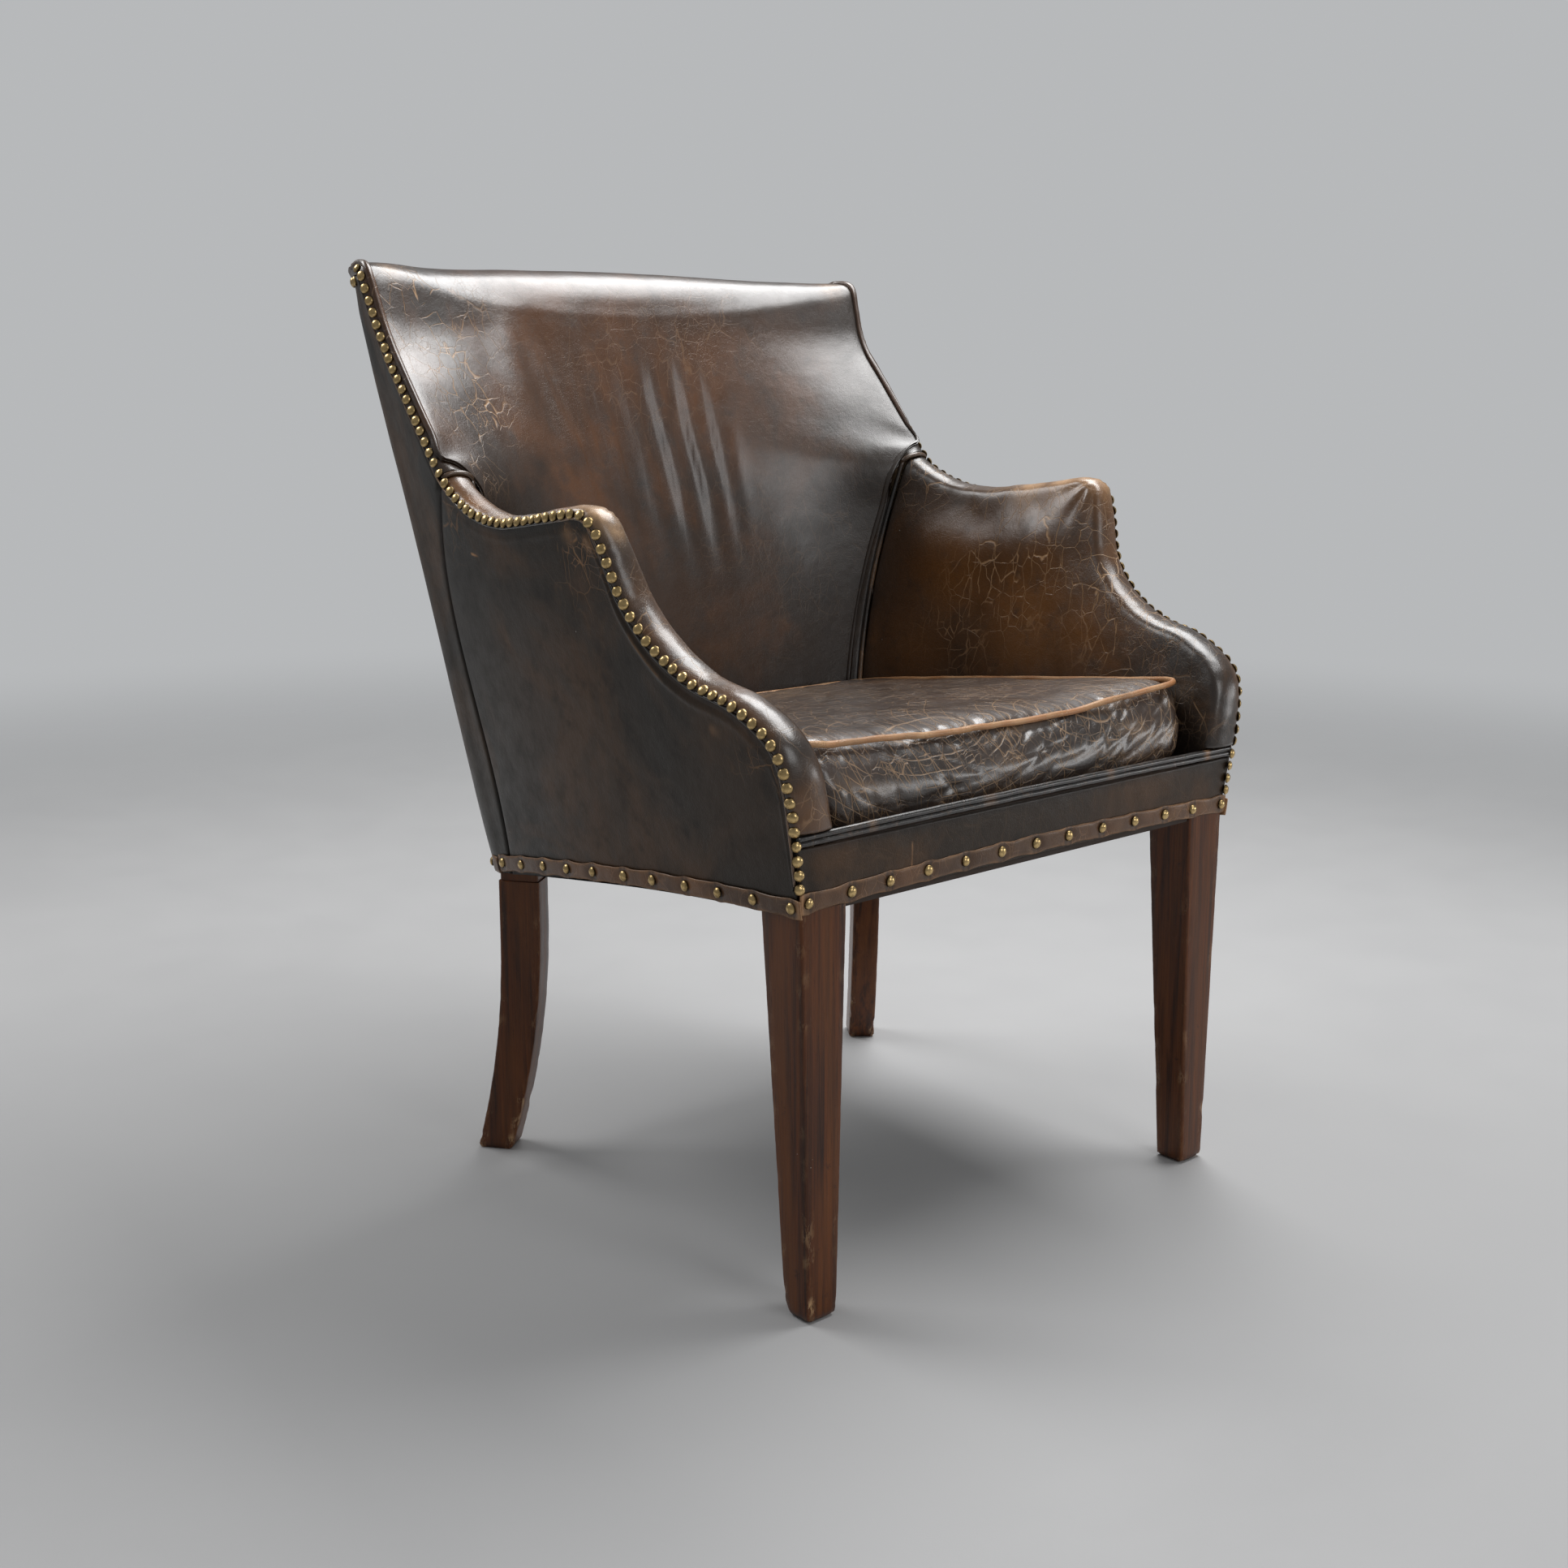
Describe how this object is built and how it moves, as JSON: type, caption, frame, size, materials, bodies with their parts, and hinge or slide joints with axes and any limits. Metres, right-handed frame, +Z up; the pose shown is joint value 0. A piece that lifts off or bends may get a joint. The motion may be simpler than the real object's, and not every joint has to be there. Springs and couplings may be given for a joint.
{
  "type": "club chair",
  "caption": "Worn dark leather club chair with winged back, sloping arms, brass dome nails, a piped loose cushion and tapered mahogany legs.",
  "frame": {"origin": "middle of the bounding box on the floor, under the seat", "axes": "+Z up, -Y the way the sitter faces, +X the sitter's left"},
  "size_m": [0.6704, 0.6828, 0.8769],
  "materials": {
    "mahogany": "satin polish, worn through at the corners",
    "frame_wood": "bare beech, hidden inside",
    "webbing": "woven jute",
    "stuffing": "hair and wadding under cotton, hidden inside",
    "dust_cloth": "matt black cloth",
    "leather": "waxed, cracked and rubbed to a gloss",
    "leather_outside": "waxed, smooth",
    "leather_seat": "creased, cracked and dull where it was sat on",
    "leather_tan": "worn to the tan",
    "leather_band": "wavy between its nails, with worn edges",
    "brass": "dulled, darker round the rims"
  },
  "bodies": {
    "root": {"front_leg_left": "mahogany", "front_leg_right": "mahogany", "back_leg_left": "mahogany", "back_leg_right": "mahogany", "front_rail": "frame_wood", "side_rail_left": "frame_wood", "side_rail_right": "frame_wood", "back_rail": "frame_wood", "stay_rail": "frame_wood", "top_rail": "frame_wood", "arm_stump_left": "frame_wood", "arm_stump_right": "frame_wood", "arm_rail_left": "frame_wood", "arm_rail_right": "frame_wood", "wing_board_left": "frame_wood", "wing_board_right": "frame_wood", "seat_webbing": "webbing", "back_webbing": "webbing", "seat_pad": "stuffing", "back_padding": "stuffing", "arm_padding_left": "stuffing", "arm_padding_right": "stuffing", "dust_cloth": "dust_cloth", "inside_back": "leather", "inside_arm_left": "leather", "inside_arm_right": "leather", "seam_welt_left": "leather", "seam_welt_right": "leather", "outside_arm_left": "leather_outside", "outside_arm_right": "leather_outside", "outside_back": "leather_outside", "front_cover": "leather_outside", "front_double_piping": "leather_outside", "seat_cushion": "leather_seat", "cushion_piping": "leather_tan", "front_band": "leather_band", "side_band_left": "leather_band", "side_band_right": "leather_band", "nail_trim_left": "brass", "nail_trim_right": "brass", "nail_trim_rear": "brass"}
  },
  "joints": []
}
